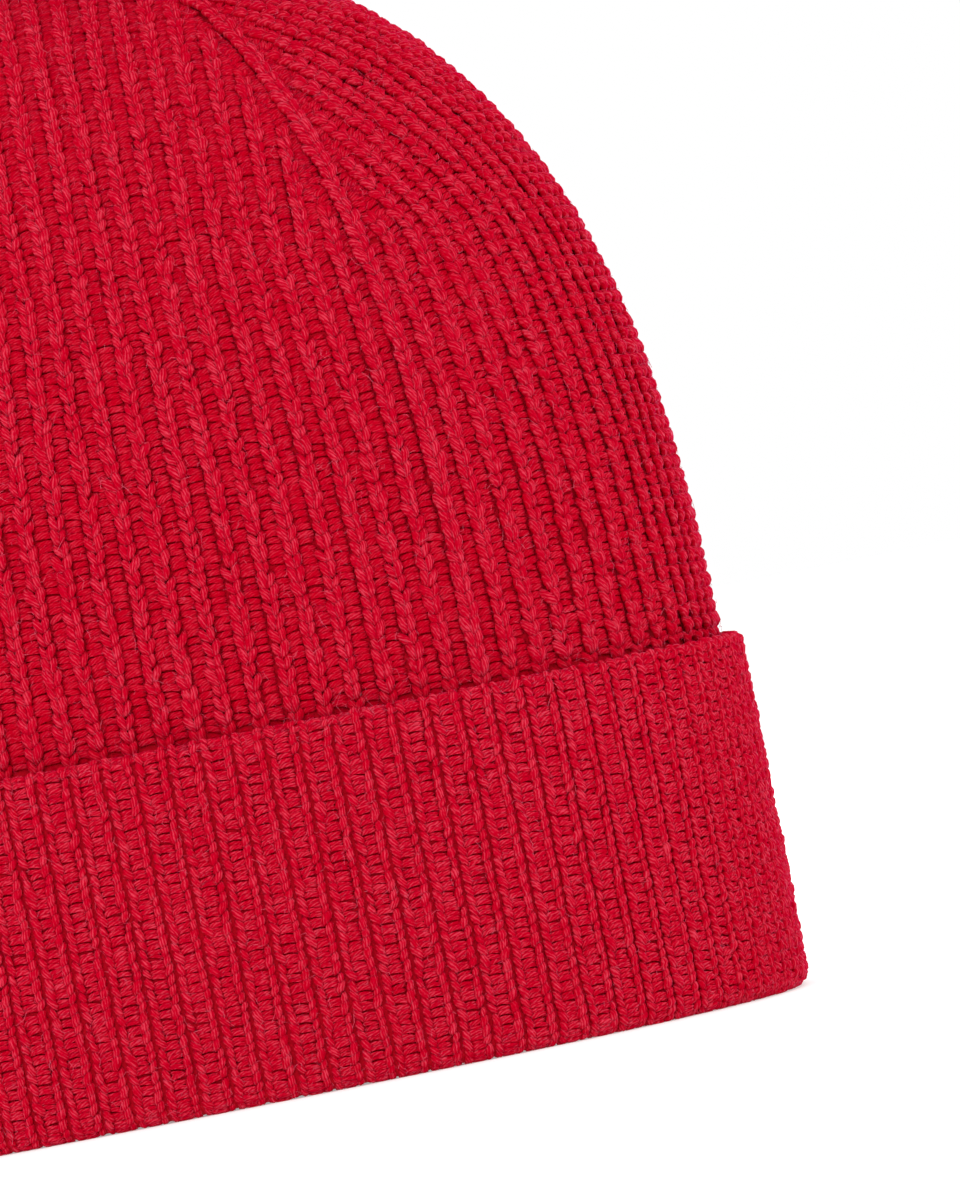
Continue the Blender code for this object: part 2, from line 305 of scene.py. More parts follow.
# --- tubes of yarn ---
ACROSS = 1.3  # how closely the plies follow round a tube
TOP_HIGHLIGHT = 0.85  # a tube's top counts as higher than its flanks by this, for a painted highlight, and its flanks as deeper than the stitch by this, for painted shade
FLANK_SHADE = 0.45  # and its flanks as deeper than the stitch by this
LUMPS = 0.06  # roughness of a yarn's outline, over its radius
FLOOR_CLEAR = 0.05 * MM  # the wool flattens where the hat stands on it
YARN_DEPTH_LIMIT = 1.2  # more than this is a stray fibre
DEEPEST = -2.4 * MM  # the level below the surface where depth is 0
YARN_SIDES = 6  # corners of a tube's section, by how fine it is
BAR_SIDES = 5
FIBRE_SIDES = 3


def tube_data(centre, normal, radius, depth, sides):
    """Vertices, strand coordinates and depths of many tubes of equal ring count."""
    ahead = unit(np.gradient(centre, axis=1))
    right = unit(np.cross(ahead, normal))
    out = np.cross(right, ahead)
    angle = -math.pi + math.tau * np.arange(sides) / sides
    ring = (np.cos(angle)[:, None] * out[:, :, None, :]
            + np.sin(angle)[:, None] * right[:, :, None, :])
    rough = radius[:, :, None] * (1 + LUMPS * GAUSS(ring.shape[:3]))
    verts = centre[:, :, None, :] + ring * rough[..., None]
    verts[..., 2] = np.maximum(verts[..., 2], FLOOR_CLEAR)
    steps = np.diff(centre, axis=1, prepend=centre[:, :1])
    along = np.cumsum(np.linalg.norm(steps, axis=2), axis=1)
    strand = np.empty(verts.shape)
    strand[..., 0] = ACROSS * np.sin(angle) * radius[:, :, None] / MM
    strand[..., 1] = along[:, :, None] / MM
    strand[..., 2] = RNG.random(len(centre))[:, None, None]
    deep = np.broadcast_to(depth[:, :, None], verts.shape[:3])
    # Painted light: each tube's top is painted lighter and pinker, its flanks and underside darker.
    deep = deep + np.cos(angle) * TOP_HIGHLIGHT - FLANK_SHADE
    if sides > FIBRE_SIDES:
        deep = np.minimum(deep, YARN_DEPTH_LIMIT)
    return verts, strand, deep


def tube_object(name, parts, material):
    """One mesh of tubes; parts is a list of (centre, normal, radius, depth, sides)."""
    verts, strands, depths, loops, totals, rounded = [], [], [], [], [], []
    base = 0
    for centre, normal, radius, depth, sides in parts:
        if len(centre) == 0:
            continue
        v, s, d = tube_data(centre, normal, radius, depth, sides)
        count, rings = v.shape[:2]
        index = base + np.arange(count * rings * sides).reshape(count, rings, sides)
        turn = np.roll(index, -1, axis=2)
        quads = np.stack([index[:, :-1], turn[:, :-1], turn[:, 1:], index[:, 1:]], axis=-1)
        loops += [quads.reshape(-1), index[:, 0, ::-1].reshape(-1), index[:, -1].reshape(-1)]
        totals += [np.full(quads.size // 4, 4), np.full(2 * count, sides)]
        rounded.append(np.full(quads.size // 4 + 2 * count, sides > FIBRE_SIDES))
        verts.append(v.reshape(-1, 3))
        strands.append(s.reshape(-1, 3))
        depths.append(d.reshape(-1))
        base += index.size
    joined = [np.concatenate(arrays) for arrays in (verts, loops, totals, strands, depths)]
    obj = mesh_object(name, *joined, material)
    obj.data.polygons.foreach_set("use_smooth", np.concatenate(rounded))
    return obj


def add_object(name, data):
    """A new object in the scene."""
    obj = bpy.data.objects.new(name, data)
    bpy.context.scene.collection.objects.link(obj)
    return obj


def mesh_object(name, verts, loops, totals, strand, depth, material):
    """A smooth-shaded mesh object with the strand and depth attributes that the wool reads."""
    mesh = bpy.data.meshes.new(name)
    mesh.vertices.add(len(verts))
    mesh.vertices.foreach_set("co", verts.astype(np.float32).ravel())
    mesh.loops.add(len(loops))
    mesh.loops.foreach_set("vertex_index", loops.astype(np.int32))
    mesh.polygons.add(len(totals))
    starts = np.concatenate([[0], np.cumsum(totals)[:-1]])
    mesh.polygons.foreach_set("loop_start", starts.astype(np.int32))
    mesh.polygons.foreach_set("use_smooth", np.ones(len(totals), dtype=bool))
    mesh.update(calc_edges=True)
    layer = mesh.attributes.new("strand", "FLOAT_VECTOR", "POINT")
    layer.data.foreach_set("vector", strand.astype(np.float32).ravel())
    layer = mesh.attributes.new("depth", "FLOAT", "POINT")
    layer.data.foreach_set("value", depth.astype(np.float32).ravel())
    mesh.materials.append(material)
    return add_object(name, mesh)


def dress(obj, body, node):
    """The piece rides on a body and stands in for a CAD node, which it hides."""
    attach(obj, body)
    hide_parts(node)


def rows_of(paths, row, end_room, phase):
    """Wale numbers and positions of all stitches, row by row along each path."""
    wale, where = [], []
    for i, length in enumerate(paths.length):
        s = np.arange(phase, length - end_room, row)
        wale.append(np.full(len(s), i))
        where.append(s)
    return np.concatenate(wale), np.concatenate(where)


def smooth(x):
    """Smoothstep of values clipped to 0..1."""
    x = np.clip(x, 0, 1)
    return x * x * (3 - 2 * x)


def leg_shape(leg, rings=6):
    """A leg of a V, plunging at both ends: (u, v, w) rows and radii, in metres."""
    s = np.linspace(0, 1, rings)
    u = leg.inner + (leg.outer - leg.inner) * smooth(s * 1.1)
    v = leg.tail + (leg.head - leg.tail) * s
    swell = np.sin(math.pi * (0.02 + 0.96 * s))
    w = leg.deep + (leg.high - leg.deep) * swell ** 0.8
    r = leg.width * (0.50 + 0.50 * swell ** 0.7)
    return np.stack([u, v, w], axis=1) * MM, r * MM


BAR_END = 0.92  # a bump's end, as a share of its middle's radius


def bar_shape(bar, rings=5):
    """A purl bump, a low arch across the channel: (u, v, w) rows and radii, in metres."""
    s = np.linspace(-1, 1, rings)
    arch = 1 - s * s
    w = bar.deep + (bar.high - bar.deep) * np.sqrt(arch)
    r = bar.width * (BAR_END + (1 - BAR_END) * arch)
    return np.stack([bar.half * s, bar.bow * arch, w], axis=1) * MM, r * MM


def stitch(paths, wale, where, shape, radius, side, lay):
    """Tubes for one leg or bar per stitch. lay holds gain, sink, wander and lean per stitch."""
    across = side * shape[:, 0] * lay.gain[:, None]
    along = shape[:, 1] * lay.gain[:, None]
    u = across + along * lay.lean[:, None] + lay.wander[:, None]
    v = where[:, None] + along - across * lay.lean[:, None]
    w = shape[:, 2] + lay.sink[:, None]
    centre, normal = paths.place(wale[:, None], u, v, w)
    # The sink counts twice, so stitches sunk in the crease behind the cuff and at the wales' ends
    # are painted darker as shade, and raised ones lighter.
    depth = (w + lay.sink[:, None] - DEEPEST) / -DEEPEST
    return centre, normal, radius * lay.gain[:, None], depth


Lay = namedtuple("Lay", "gain sink wander lean")


SWAY = 2.6  # the columns' slow sway, over a single stitch's wander
SWAY_LENGTH = 17 * MM
SWAY_PHASE = 1.7


def uneven(wale, where, size, sink, wander, lean):
    """How each stitch differs from its neighbours, with columns that sway slowly."""
    n = len(wale)
    sway = np.sin(where / SWAY_LENGTH + wale * SWAY_PHASE) * SWAY * wander
    return Lay(1 + size * GAUSS(n), sink * GAUSS(n),
               sway + wander * GAUSS(n), lean * GAUSS(n))


def vary(lay, size, lean):
    """The same stitches with one leg differing a little from the other."""
    n = len(lay.gain)
    return lay._replace(gain=lay.gain * (1 + size * GAUSS(n)),
                        lean=lay.lean + lean * GAUSS(n))


FIBRE_DEPTH = 1.6  # fibres catch the light more than the yarn they stray from,
FIBRE_LOW_DEPTH = 0.7  # stray fibres are a painted highlight, lighter and pinker than their yarn, but not where they lie low in the knit
FIBRE = 0.050 * MM  # radius of a stray fibre or a small tuft of them
FIBRE_LENGTH = 1.7 * MM
FIBRE_SHORTEST = 0.8 * MM
FIBRE_LONGEST = 4.5 * MM
FIBRE_FROM_END = 1.5 * MM  # no fibre lies closer to a wale's end
FIBRE_DIP = 0.45 * MM  # how far a fibre's ends tuck in


def fuzz(paths, count, width, low, high):
    """Stray fibres lying loosely on the knit. low and high bound their height over it."""
    wale = RNG.choice(len(paths.length), size=count, p=paths.length / paths.length.sum())
    length = RNG.lognormal(math.log(FIBRE_LENGTH), 0.40, count)
    length = np.clip(length, FIBRE_SHORTEST, FIBRE_LONGEST)
    start = RNG.random(count) * (paths.length[wale] - 2 * FIBRE_FROM_END) + FIBRE_FROM_END
    aside = (RNG.random(count) - 0.5) * PITCH * BODY_HALF
    heading = 1.1 * GAUSS(count) - 0.35
    bend = 0.9 * GAUSS(count)
    s = np.linspace(-0.5, 0.5, 3)
    run = length[:, None] * s
    bow = (length * bend)[:, None] * (0.25 - s * s)
    u = aside[:, None] + run * np.sin(heading)[:, None] + bow * np.cos(heading)[:, None]
    v = start[:, None] + run * np.cos(heading)[:, None] - bow * np.sin(heading)[:, None]
    level = low + (high - low) * RNG.random(count) ** 1.6
    dip = FIBRE_DIP * np.abs(GAUSS((count, 3))) * np.array([1, 0.2, 1])
    w = level[:, None] - dip
    centre, normal = paths.place(wale[:, None], u, v, w)
    radius = width * (1 + 0.2 * GAUSS(count))[:, None] * np.array([0.6, 1, 0.6])
    # Painted highlight: fibres lying high over the knit are painted pinker.
    rise = smooth(1.4 * (level - low) / (high - low))
    depth = FIBRE_LOW_DEPTH + (FIBRE_DEPTH - FIBRE_LOW_DEPTH) * rise
    depth = np.broadcast_to(depth[:, None], (count, 3))
    return centre, normal, np.maximum(radius, 0.3 * width), depth, FIBRE_SIDES


# --- the knit ---
BODY_FIBRES = 14000
CUFF_FIBRES = 7000
LOOPS = 28  # last stitches, drawn up on the closing yarn
ROW_END = 0.3 * MM  # no stitch starts closer to a path's end
FOLD_FILL = 0.40 * MM  # the bumps come up this much where the fold stretches them
UNEVEN_STEP = 0.09 * MM  # how unevenly the bumps are spaced
WALE_FADE = 4 * MM  # ending wales narrow and sink over this length
FADE_SLIM = 0.18
FADE_SINK = 1.3 * MM
LEADER_BOLD = 0.12  # the decrease ribs are bolder
LEADER_RISE = 0.35 * MM


def sector_of(points):
    """Which sector of the hat each strand lies in."""
    angle = np.arctan2(points[:, 0, 1] / DEPTH_RATIO, points[:, 0, 0])
    return ((angle / math.tau + 0.5) * SECTORS).astype(int) % SECTORS


def in_sectors(name, strands, material, node):
    """Cut strands into one object per sector."""
    sectors = [sector_of(part[0]) for part in strands]
    for k in range(SECTORS):
        chosen = []
        for part, sector in zip(strands, sectors):
            pick = sector == k
            chosen.append((*(a[pick] for a in part[:4]), part[4]))
        dress(tube_object(f"{name}_{k}", chosen, material), "hat", node)


CREASE_TUCK = 1.1 * MM  # the body tucks in behind the cuff's top edge, painted darker as shade
CREASE_LOW = 1.2 * MM  # from this far under the edge
CREASE_LENGTH = 2.4 * MM
END_SLIM = 0.14  # the ribs open up over both ends of the head
END_FROM = 0.065
END_LENGTH = 0.035


def crease(point):
    """How far stitches at these points tuck in behind the cuff's top edge."""
    return CREASE_TUCK * smooth(1 - (point[:, 2] - CUFF_TOP + CREASE_LOW) / CREASE_LENGTH)


def body_columns():
    """The body's bold V columns and the four decrease ribs."""
    paths, leader = rib_paths()
    wale, where = rows_of(paths, BODY_ROW, ROW_END, 0)
    lay = uneven(wale, where, 0.07, 0.12 * MM, 0.09 * MM, 0.09)
    ends = smooth(1 - (paths.length[wale] - where) / WALE_FADE)
    ends = np.where(leader[wale], 0, ends)
    lead = np.where(leader[wale], 1, 0)
    point, _ = paths.at(wale, where)
    slim = 1 - END_SLIM * smooth((np.abs(point[:, 0]) - END_FROM) / END_LENGTH)
    lay = lay._replace(gain=lay.gain * (1 - FADE_SLIM * ends + LEADER_BOLD * lead) * slim,
                       sink=lay.sink - FADE_SINK * ends + LEADER_RISE * lead - crease(point))
    shape, width = leg_shape(BODY_LEG)
    strands = []
    for side in (-1, 1):
        legs = stitch(paths, wale, where, shape, width, side, vary(lay, 0.07, 0.12))
        strands.append((*legs, YARN_SIDES))
    return paths, strands


def bumps(paths, row, bar, phase, tuck=0):
    """The purl bumps along channels, small and irregular."""
    wale, where = rows_of(paths, row, ROW_END, phase)
    lay = uneven(wale, where, 0.08, 0.10 * MM, 0.08 * MM, 0.12)
    point, normal = paths.at(wale, where)
    lay = lay._replace(sink=lay.sink + FOLD_FILL * smooth(-normal[:, 2]) - tuck * crease(point))
    shape, width = bar_shape(bar)
    where = where + UNEVEN_STEP * GAUSS(len(wale))
    return (*stitch(paths, wale, where, shape, width, 1, lay), BAR_SIDES)


def knit_body(material):
    """The body's outside: columns, purl bumps, the drawn-up last stitches and stray fibres."""
    paths, strands = body_columns()
    channels = channel_paths()
    strands.append(bumps(channels, BODY_ROW, BODY_BAR, BODY_ROW * 0.4, 1))
    strands.append(bumps(channels, BODY_ROW, BODY_UNDER_BAR, BODY_ROW * 0.9, 1))
    strands.append(drawn_loops())
    strands.append(fuzz(paths, BODY_FIBRES, FIBRE, -0.60 * MM, 0.50 * MM))
    in_sectors("body_knit", strands, material, "knit_body")


def drawn_loops():
    """The last stitches, which pass over the closing yarn towards the crown's centre."""
    turn = math.tau * (np.arange(LOOPS) + 0.5) / LOOPS
    reach = np.array([10.5, 8.6, 6.4, 4.4, 2.9]) * MM
    lift = np.array([-1.3, 0.5, 2.1, 1.0, -1.2]) * MM
    x = np.cos(turn)[:, None] * reach
    y = np.sin(turn)[:, None] * reach
    z = np.broadcast_to(CROWN_Z + lift, x.shape)
    centre = np.stack([x, y, z], axis=-1)
    normal = np.broadcast_to((0.0, 0.0, 1.0), centre.shape)
    radius = np.broadcast_to(np.array([0.95, 0.95, 0.8, 0.65, 0.6]) * MM, x.shape)
    return centre, normal, radius, np.full(x.shape, 0.6), YARN_SIDES


def cuff_columns(paths):
    """The reverse face of the rib: pairs of narrow columns whose V's stand on their heads."""
    wale, where = rows_of(paths, CUFF_ROW, 0.2 * MM, 0)
    lay = uneven(wale, where, 0.06, 0.09 * MM, 0.06 * MM, 0.06)
    shape, width = leg_shape(CUFF_LEG)
    strands = []
    for side in (-1, 1):
        legs = stitch(paths, wale, where, shape, width, side, vary(lay, 0.08, 0.10))
        strands.append((*legs, YARN_SIDES))
    return strands


# One row of the cast-on edge in millimetres: beyond the body's wall, under the cuff's top, radius.
EDGE_ROWS = ((2.60, 1.45, 0.75), (1.90, 1.05, 0.80))


def cast_on_edge():
    """The cuff's firm top edge: rows of long slanted stitches lying along it."""
    parts = []
    count = 2 * WALES
    step = ROUND / count
    s = np.linspace(-0.62, 0.62, 5)
    for row, (out, under, width) in enumerate(EDGE_ROWS):
        centre_arc = (np.arange(count) + 0.5 * row) * step
        arc = centre_arc[:, None] + s * step
        tilt = 0.28 * MM + 0.08 * MM * GAUSS(count)
        drop = 0.14 * MM * GAUSS(count)
        z = CUFF_TOP - under * MM - drop[:, None] + tilt[:, None] * s * 2
        bulge = out * MM - 0.45 * MM * (2 * s) ** 2
        bulge = bulge + 0.10 * MM * GAUSS(count)[:, None]
        p, side = wall_point(arc.ravel(), bulge.ravel(), z.ravel())
        centre = p.reshape(count, len(s), 3)
        normal = side.reshape(count, len(s), 3)
        gain = 1 + 0.06 * GAUSS((count, 1))
        radius = width * MM * np.array([0.6, 0.92, 1.0, 0.92, 0.6]) * gain
        parts.append((centre, normal, radius, np.full(radius.shape, 0.75), YARN_SIDES))
    return parts


def knit_cuff(material):
    """The turned-up layer: columns, purl bumps, cast-on edge and stray fibres."""
    paths = cuff_paths(0)
    strands = cuff_columns(paths)
    channels = cuff_paths(0.5)
    strands.append(bumps(channels, CUFF_ROW, CUFF_BAR, CUFF_ROW * 0.5))
    strands.append(bumps(channels, CUFF_ROW, CUFF_UNDER_BAR, CUFF_ROW))
    strands += cast_on_edge()
    strands.append(fuzz(paths, CUFF_FIBRES, FIBRE, -0.55 * MM, 0.42 * MM))
    in_sectors("cuff_knit", strands, material, "turned_cuff")


# --- backing layers ---
BODY_BACK = 2.05 * MM  # the layer behind the body's stitches lies this deep
INSIDE_FACE = 3.35 * MM  # the inside face's middle and the height of its ribs
INSIDE_RIB = 0.35 * MM
CUFF_BACK = 1.35 * MM  # the cuff's layer: its two faces
CUFF_BACK_FACE = 2.8 * MM
FOLD_BACKING = 1.0 * MM  # how much closer it lies at the fold
BACKING_DEPTH = 0.15
BODY_BACK_FROM = 5 * MM  # the body's layer starts at this height
POINTS_PER_RIB = 6  # how finely the layers follow the stitches' paths
WALL_STRIDE = 6
CROWN_STRIDE = 8
CUFF_FIRST = 4
CUFF_STRIDE = 6


def loop_mesh(name, rings, arc, material, depth_value):
    """A closed shell from rings of equal length, the last joined to the first."""
    rings = np.array(rings)
    count, around = rings.shape[:2]
    index = np.arange(count * around).reshape(count, around)
    turn = np.roll(index, -1, axis=1)
    up = np.roll(index, -1, axis=0)
    up_turn = np.roll(turn, -1, axis=0)
    quads = np.stack([index, turn, up_turn, up], axis=-1).reshape(-1)
    verts = rings.reshape(-1, 3)
    across = np.broadcast_to(arc * BODY_HALF / MM, (count, around))
    strand = np.stack([across.ravel(), verts[:, 2] / MM, np.zeros(len(verts))], axis=1)
    depth = np.full(len(verts), depth_value)
    return mesh_object(name, verts, quads, np.full(count * around, 4), strand, depth, material)


def fold_backing(point, normal, back):
    """Points behind the cuff's stitches, closer to them where the fold stretches the knit."""
    return point - normal * (back - FOLD_BACKING * smooth(-normal[:, 2:]))


def backing(material):
    """The layer behind the stitches, and the ribbed inside face."""
    around = WALES * POINTS_PER_RIB
    arc = np.arange(around) * ROUND / around
    wave = np.cos(math.tau * arc / PITCH)
    half, z = outline_levels(BODY_BACK_FROM)
    wall = np.arange(0, WALL_LEVELS, WALL_STRIDE)
    pick = np.concatenate([wall, np.arange(WALL_LEVELS, len(z), CROWN_STRIDE), [len(z) - 1]])
    outer, inner = [], []
    for h, level in zip(half[pick], z[pick]):
        p, n = surface_line(arc, np.full(around, h), np.full(around, level))
        outer.append(p - n * BODY_BACK)
        inner.append(p - n * (INSIDE_FACE + INSIDE_RIB * wave[:, None]))
    obj = loop_mesh("body_backing", outer + inner[::-1], arc, material, BACKING_DEPTH)
    dress(obj, "hat", "knit_body")

    paths = cuff_paths(0)
    arc = np.arange(WALES) * PITCH
    pick = np.arange(CUFF_FIRST, int(paths.length[0] / PATH_STEP), CUFF_STRIDE)
    layers = []
    for back in (CUFF_BACK, CUFF_BACK_FACE):
        layers.append([fold_backing(paths.point[:, i], paths.normal[:, i], back) for i in pick])
    obj = loop_mesh("cuff_backing", layers[0] + layers[1][::-1], arc, material, BACKING_DEPTH)
    dress(obj, "hat", "turned_cuff")


# --- pom pom ---
POM_YARNS = 6000
POM_FIBRES = 15000
POM_PIECES = 4
POM_YARN = 0.92 * MM  # a yarn end's radius
POM_START = 0.50  # the yarns are modelled from this share of their reach
POM_BEND = 0.17
POM_TRIM = 0.020  # how unevenly the ends are cut
POM_LIFT = 2.6 * MM  # the pile stays this far above the crown's top
POM_FULL = 0.985  # the yarns' reach over the ball's radius,
POM_DROOP = 0.035  # and what they droop towards the crown


def centre_and_half(node):
    """The centre and the half sizes of a node's box."""
    lo, hi = np.array(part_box(node))
    return (lo + hi) / 2, (hi - lo) / 2


def sphere_ways(count, scatter):
    """Directions spread evenly over a sphere, then scattered a little."""
    k = np.arange(count) + 0.5
    polar = np.arccos(1 - 2 * k / count)
    turn = math.pi * (1 + 5 ** 0.5) * k
    flat = np.sin(polar)
    way = np.stack([flat * np.cos(turn), flat * np.sin(turn), np.cos(polar)], axis=1)
    return unit(way + scatter * GAUSS((count, 3)))


def pom_reach(way, centre, radius):
    """How far the yarns reach each way: round, but drooping on to the crown below."""
    down = smooth((-way[:, 2] - 0.55) / 0.4)
    reach = radius * (POM_FULL + POM_DROOP * down)
    floor = (centre[2] - CROWN_Z - POM_LIFT) / np.maximum(-way[:, 2], 1e-3)
    return np.where(way[:, 2] < -0.3, np.minimum(reach, floor), reach)


def pom(material):
    """A few thousand cut yarn ends standing out of the tie, and the fibres that they shed."""
    centre, (radius, _, _) = centre_and_half("pom_pile")
    way = sphere_ways(POM_YARNS, 0.05)
    trim = np.clip(GAUSS(POM_YARNS), -1.8, 1.8)
    reach = pom_reach(way, centre, radius) * (1.0 + POM_TRIM * trim)
    s = np.array([POM_START, 0.70, 0.85, 0.95, 1.0])
    bend = POM_BEND * GAUSS((POM_YARNS, 3))
    bend = bend - way * np.sum(bend * way, axis=1, keepdims=True)
    line = way[:, None, :] * s[:, None] + bend[:, None, :] * ((s - POM_START) ** 2)[:, None] * 1.3
    line = centre + line * reach[:, None, None]
    cross = unit(np.cross(way, (0.3, 0.5, 0.81)))
    normal = np.broadcast_to(cross[:, None, :], line.shape)
    gain = (1 + 0.15 * GAUSS(POM_YARNS))[:, None]
    width = POM_YARN * gain * (0.7, 0.95, 1.15, 1.3, 0.95)
    # Painted light: the yarn ends are painted darker towards the ball's middle, as shade, and
    # lighter towards their tips.
    depth = np.broadcast_to((-0.2, 0.1, 0.35, 0.6, 0.85), width.shape)
    yarns = (line, normal, width, depth, BAR_SIDES)

    way = sphere_ways(POM_FIBRES, 0.2)
    reach = pom_reach(way, centre, radius) * (0.94 + 0.07 * RNG.random(POM_FIBRES))
    tip = centre + way * reach[:, None]
    lean = unit(way + 0.9 * GAUSS((POM_FIBRES, 3)))
    run = (1.2 + 2.2 * RNG.random(POM_FIBRES)) * MM
    curl = 0.5 * MM * GAUSS((POM_FIBRES, 3))
    s = np.array([-0.5, 0.0, 0.5])
    line = tip[:, None, :] + lean[:, None, :] * (run[:, None] * s)[..., None]
    line = line + curl[:, None, :] * (0.25 - s * s)[:, None] * 4
    cross = unit(np.cross(lean, way))
    normal = np.broadcast_to(cross[:, None, :], line.shape)
    thin = np.broadcast_to(FIBRE * np.array([1.1, 1.2, 0.7]), line.shape[:2])
    # The pom pom's fibres take the stray fibres' painted highlight.
    fibres = (line, normal, thin, np.full(thin.shape, FIBRE_DEPTH), FIBRE_SIDES)

    for k in range(POM_PIECES):
        share = [(*(a[k::POM_PIECES] for a in part[:4]), part[4]) for part in (yarns, fibres)]
        dress(tube_object(f"pom_yarns_{k}", share, material), "pom", "pom_pile")


# --- small yarn pieces ---
def strand_part(points, outward, radius, depth=0.6, sides=8):
    """One strand through points; outward is roughly its normal at each."""
    points = np.asarray(points)[None]
    outward = np.broadcast_to(np.asarray(outward), points.shape[1:])[None]
    radius = np.broadcast_to(radius, points.shape[:2])
    return points, outward, radius, np.full(points.shape[:2], depth), sides


def plied(points, outward, plies, radius, turn_length, depth=0.6):
    """Strands twisted round each other along points, together about twice radius thick."""
    points = np.asarray(points)
    outward = np.broadcast_to(np.asarray(outward), points.shape)
    ahead = unit(np.gradient(points, axis=0))
    right = unit(np.cross(ahead, outward))
    out = np.cross(right, ahead)
    arc = Paths.arc(points)
    turns = max(round(arc[-1] / turn_length), 1)
    parts = []
    for k in range(plies):
        angle = math.tau * (turns * arc / arc[-1] + k / plies)
        offset = np.cos(angle)[:, None] * out + np.sin(angle)[:, None] * right
        strand = points + offset * radius * 0.52
        parts.append(strand_part(strand, out, radius * 0.52, depth))
    return parts


def gather_yarn(material):
    """The plied yarn that closes the crown, drawn into a ring."""
    centre, (wide, _, thick) = centre_and_half("crown_gather_yarn")
    turn = np.linspace(0, math.tau, 121)
    way = np.stack([np.cos(turn), np.sin(turn), 0 * turn], axis=1)
    parts = plied(centre + way * (wide - thick), way, 3, thick, 6.5 * MM)
    dress(tube_object("gather_ring", parts, material), "hat", "crown_gather_yarn")


def knot(material):
    """The overhand knot in the pom pom's tails inside the crown, with two short ends."""
    centre, (wide, _, tall) = centre_and_half("anchor_knot")
    yarn = 1.15 * MM
    turn = np.linspace(0, math.tau, 141)
    ring = (wide - yarn) * 0.62 + (wide - yarn) * 0.38 * np.cos(3 * turn)
    lift = (tall - yarn) * np.sin(3 * turn)
    loops = np.stack([ring * np.cos(2 * turn), ring * np.sin(2 * turn), lift], axis=1)
    up = np.array([0.0, 0.0, 1.0])
    parts = plied(centre + loops, unit(loops + up * 0.3 * wide), 2, yarn, 5 * MM)
    s = np.linspace(0, 1, 14)[:, None]
    for side in (-1, 1):
        start = np.array([side * 2.0, side * 0.8, 0]) * MM
        tail = start + s * np.array([side * 3.2, side * 1.6, -1.2]) * MM
        tail[:, 2] -= (s[:, 0] ** 2) * 1.0 * MM
        parts += plied(centre + tail, up, 2, 0.95 * MM, 5 * MM)
    dress(tube_object("knot_yarn", parts, material), "hat", "anchor_knot")


def shank(material):
    """The ball of yarn wound round the tails between crown and pom pom."""
    centre, (_, _, radius) = centre_and_half("shank_wrap")
    yarn = 0.55 * MM
    turn = np.linspace(0, math.tau * 9, 320)
    height = np.cos(turn / 9 * 0.5) * 0.92
    tilt = 0.35 * np.sin(turn * 1.13)
    height = np.clip(height + tilt * 0.3, -0.95, 0.95)
    flat = np.sqrt(1 - height ** 2)
    way = np.stack([flat * np.cos(turn), flat * np.sin(turn), height], axis=1)
    parts = [strand_part(centre + way * (radius - yarn), way, yarn)]
    dress(tube_object("shank_windings", parts, material), "shank", "shank_wrap")


def tie(material):
    """The binding yarn: wraps round the pile's middle, and the twisted tails below them."""
    lo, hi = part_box("pom_tie")
    centre, _ = centre_and_half("pom_pile")
    reach = (hi[0] - lo[0]) / 2
    yarn = 0.75 * MM
    turn = np.linspace(0, math.tau * 4, 160)
    climb = (turn / turn[-1] - 0.5) * 2.2 * MM
    way = np.stack([np.cos(turn), np.sin(turn), 0 * turn], axis=1)
    wraps = centre + way * (reach - yarn)
    wraps[:, 2] += climb
    parts = [strand_part(wraps, way, yarn)]
    z = np.linspace(lo[2], centre[2], 60)
    tails = np.stack([0 * z, 0 * z, z], axis=1)
    parts += plied(tails, np.array([1.0, 0.0, 0.0]), 2, 1.5 * MM, 7 * MM)
    dress(tube_object("tie_yarn", parts, material), "pom", "pom_tie")


SEAM_LEG = Leg(-1.1, 1.9, 0.15, 1.15, -0.35, 0.05, 0.52)
SEAM_ROW = 2.1 * MM
SEAM_INSET = 1.55 * MM  # the stitches lie on the ridge, this far inside the layer


def back_seam(material):
    """The linked seam on the inside: a column of small slanted stitches from fold to crown."""
    lo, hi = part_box("back_seam")
    half, z = outline_levels(lo[2])
    keep = z <= hi[2] + KNIT
    p, n = surface_line(np.full(keep.sum(), ROUND / 4), half[keep], z[keep])
    line = p - n * (KNIT + SEAM_INSET)
    inside = line[:, 2] <= hi[2]
    paths = Paths([(line[inside], -n[inside])])
    wale, where = rows_of(paths, SEAM_ROW, 1.2 * MM, 1.2 * MM)
    lay = uneven(wale, where, 0.04, 0.03 * MM, 0.04 * MM, 0.04)
    shape, width = leg_shape(SEAM_LEG)
    legs = [stitch(paths, wale, where, shape, width, side, lay) for side in (-1, 1)]
    parts = [(*leg, YARN_SIDES) for leg in legs]
    dress(tube_object("seam_stitches", parts, material), "hat", "back_seam")


def label(material):
    """The care label: a blank strip of woven satin, hanging from its top edge and curling at its
    foot.
    """
    lo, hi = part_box("care_label")
    wide, tall = 26, 36
    x = np.linspace(lo[0], hi[0], wide)
    z = np.linspace(lo[2], hi[2], tall)
    gx, gz = np.meshgrid(x, z)
    down = (hi[2] - gz) / (hi[2] - lo[2])
    mid_y = (lo[1] + hi[1]) / 2
    curl = 0.9 * MM * down ** 2 * (1 + 0.5 * np.sin(gx / (7 * MM)))
    verts = np.stack([gx, mid_y - curl, gz], axis=-1).reshape(-1, 3)
    index = np.arange(wide * tall).reshape(tall, wide)
    quads = np.stack([index[:-1, :-1], index[:-1, 1:], index[1:, 1:], index[1:, :-1]], axis=-1)
    count = quads.size // 4
    strand = np.stack([gx.ravel() / MM, gz.ravel() / MM, np.zeros(gx.size)], axis=1)
    obj = mesh_object("label_satin", verts, quads.reshape(-1), np.full(count, 4), strand,
                      np.ones(len(verts)), material)
    dress(obj, "hat", "care_label")


THREAD_STITCHES = 9


